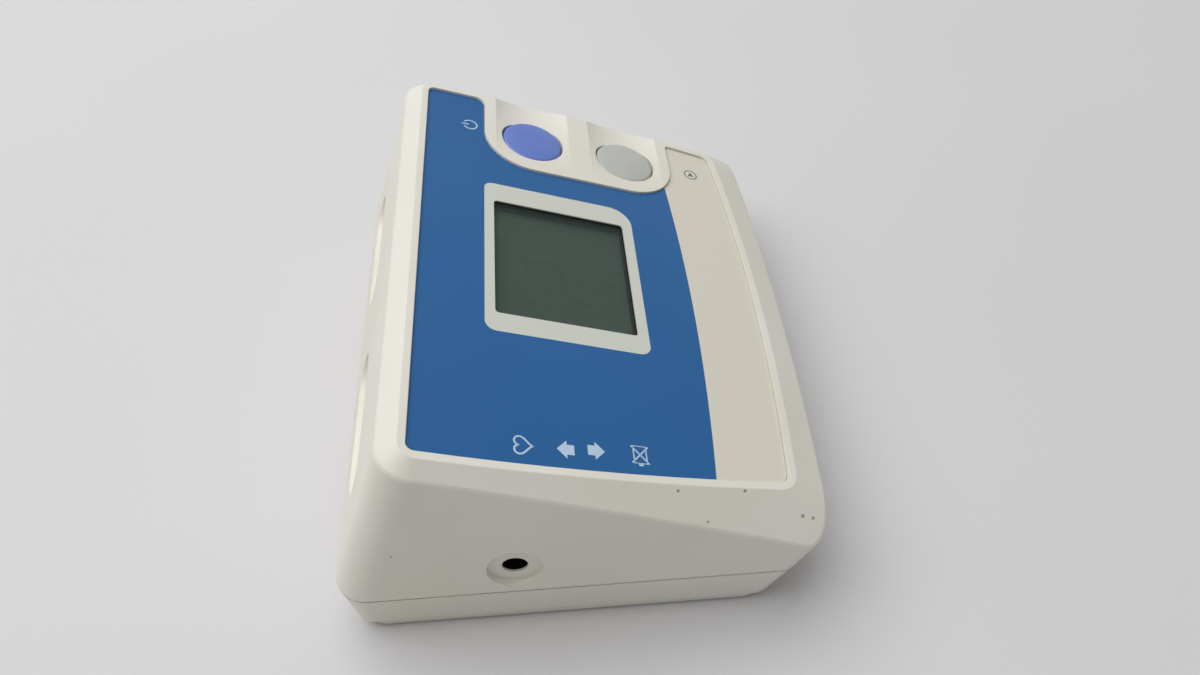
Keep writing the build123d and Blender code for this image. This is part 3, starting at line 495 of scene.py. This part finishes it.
def printPictograms():
    look = printLook
    pale, dark = plainFinish("print_pale"), plainFinish("print_dark")
    stroke = look["stroke"]
    size = look["heartSize"] / 16
    turns = [2 * pi * k / 40 for k in range(40)]
    def heartV(turn):
        return 13 * cos(turn) - 5 * cos(2 * turn) - 2 * cos(3 * turn) - cos(4 * turn)
    heart = [(16 * sin(turn) ** 3 * size, heartV(turn) * size) for turn in turns]
    inkPiece("print_heart", inkStroke(heart, True, stroke), look["heart"], pale)
    half = look["arrowHalf"]
    neck, foot, tailHalf = -0.1 * half, -0.8 * half, 0.55 * half
    head = [(-half, neck), (half, neck), (0, 0.85 * half)]
    tail = [(-tailHalf, foot), (tailHalf, foot), (tailHalf, neck), (-tailHalf, neck)]
    inkPiece("print_up", [head, tail], look["up"], pale)
    inkPiece("print_down", [[(x, -v) for x, v in face] for face in (head, tail)], look["down"], pale)
    wide, high = look["batteryHalf"]
    body = [(-wide, -high), (wide, -high), (wide, high), (-wide, high)]
    nub = [(-wide - 0.8, -0.6), (-wide - 0.2, -0.6), (-wide - 0.2, 0.6), (-wide - 0.8, 0.6)]
    fine, reach = stroke * 0.8, high + 0.6
    cross = [inkStroke([(-wide, side * reach), (wide, -side * reach)], False, fine) for side in (-1, 1)]
    crossed = inkStroke(body, True, fine) + [nub] + cross[0] + cross[1]
    inkPiece("print_battery", crossed, look["battery"], pale)
    ring = arcPoints(look["ringRadius"], radians(120), radians(420), 36)
    bar = [(0, 0.5), (0, look["ringRadius"] * 1.25)]
    power = inkStroke(ring, False, stroke) + inkStroke(bar, False, stroke)
    inkPiece("print_power", power, look["power"], pale)
    circle = arcPoints(look["ringRadius"], 0, 2 * pi * 35 / 36, 35)
    wedge = [(-0.8, -1.1), (1.3, 0), (-0.8, 1.1)]
    inkPiece("print_start", inkStroke(circle, True, fine) + [wedge], look["start"], dark)


printPictograms()
print("stage: pictograms printed")

# Plain pale floor
floorLook = {"colour": screenColour(216, 215, 216), "second": screenColour(211, 210, 211),
             "half": 6.0, "roughness": 0.85,
             "fadeFrom": 0.55, "fadeTo": 1.8, "far": (0.68, 0.68, 0.68, 1)}


def makeFloor():
    look = floorLook
    finish = Finish("floor_paper", Roughness=look["roughness"], Specular_IOR_Level=0.2)
    colour = finish.mix(finish.noise(0.35, 2.0).above(0.5, 0.6), look["colour"], look["second"])
    finish.paint(Base_Color=colour)
    away = finish.away((0, 0, 0))  # far off, the floor passes into the backdrop's own colour
    fade = away.above((look["fadeFrom"] + look["fadeTo"]) / 2, look["fadeTo"] - look["fadeFrom"])
    seen = finish.node("ShaderNodeLightPath", {}, {}, "Is Camera Ray")
    backdrop = finish.node("ShaderNodeEmission", {}, {"Color": look["far"]})
    near = Value(finish, finish.shader.outputs[0])
    surface = finish.node("ShaderNodeMixShader", {}, {0: fade * seen, 1: near, 2: backdrop})
    finish.tree.links.new(surface.socket, finish.tree.nodes["Material Output"].inputs["Surface"])
    mesh = bmesh.new()
    bmesh.ops.create_grid(mesh, x_segments=1, y_segments=1, size=look["half"])
    data = bpy.data.meshes.new("floor")
    mesh.to_mesh(data)
    mesh.free()
    floor = bpy.data.objects.new("floor", data)
    data.materials.append(finish.material)
    bpy.context.scene.collection.objects.link(floor)


makeFloor()

# Camera at the photograph's viewpoint
cameraLook = {
    "place": (-206.84, 6.72, 246.8), "lens": 29.1,
    "right": (-0.0821, -0.9966, -0.0025), "up": (0.732, -0.062, 0.6785),
    "ahead": (0.6764, -0.0539, -0.7346),
}


def makeCamera():
    look = cameraLook
    data = bpy.data.cameras.new("camera")
    data.lens = look["lens"]
    data.sensor_width = 36
    data.clip_start = 0.01
    camera = bpy.data.objects.new("camera", data)
    bpy.context.scene.collection.objects.link(camera)
    turn = Matrix((look["right"], look["up"], [-part for part in look["ahead"]])).transposed()
    turned = turn.to_quaternion().to_matrix().to_4x4()
    camera.matrix_world = Matrix.Translation(Vector(look["place"]) * mm) @ turned
    bpy.context.scene.camera = camera


makeCamera()

# Soft light: an even sky and one broad lamp above and behind the unit
lightLook = {
    "skyStrength": 0.29, "sky": (1.0, 1.0, 1.0), "backdrop": (0.68, 0.68, 0.68),
    "key": {"place": (0.4, 0.6, 1.6), "size": (2.4, 2.0), "power": 34.0},
}


def makeLights():
    look = lightLook
    world = bpy.data.worlds.new("studio")
    bpy.context.scene.world = world
    world.use_nodes = True
    tree = world.node_tree
    background = tree.nodes["Background"]
    background.inputs["Color"].default_value = (*look["sky"], 1)
    background.inputs["Strength"].default_value = look["skyStrength"]
    backdrop = tree.nodes.new("ShaderNodeBackground")
    backdrop.inputs["Color"].default_value = (*look["backdrop"], 1)
    rays = tree.nodes.new("ShaderNodeLightPath")
    seen = rays.outputs["Is Camera Ray"]
    for kind in ("Is Glossy Ray", "Is Transmission Ray"):
        either = tree.nodes.new("ShaderNodeMath")
        either.operation = "MAXIMUM"
        tree.links.new(seen, either.inputs[0])
        tree.links.new(rays.outputs[kind], either.inputs[1])
        seen = either.outputs[0]
    blend = tree.nodes.new("ShaderNodeMixShader")
    tree.links.new(seen, blend.inputs[0])
    tree.links.new(background.outputs[0], blend.inputs[1])
    tree.links.new(backdrop.outputs[0], blend.inputs[2])
    tree.links.new(blend.outputs[0], tree.nodes["World Output"].inputs["Surface"])
    lamp = bpy.data.lights.new("key", "AREA")
    lamp.shape = "RECTANGLE"
    lamp.size, lamp.size_y = look["key"]["size"]
    lamp.energy = look["key"]["power"]
    key = bpy.data.objects.new("key", lamp)
    key.location = look["key"]["place"]
    key.rotation_mode = "QUATERNION"
    key.rotation_quaternion = (-Vector(look["key"]["place"])).to_track_quat("-Z", "Y")
    bpy.context.scene.collection.objects.link(key)


makeLights()
bpy.context.scene.view_settings.view_transform = "Standard"
print("stage: floor, camera and lights placed")
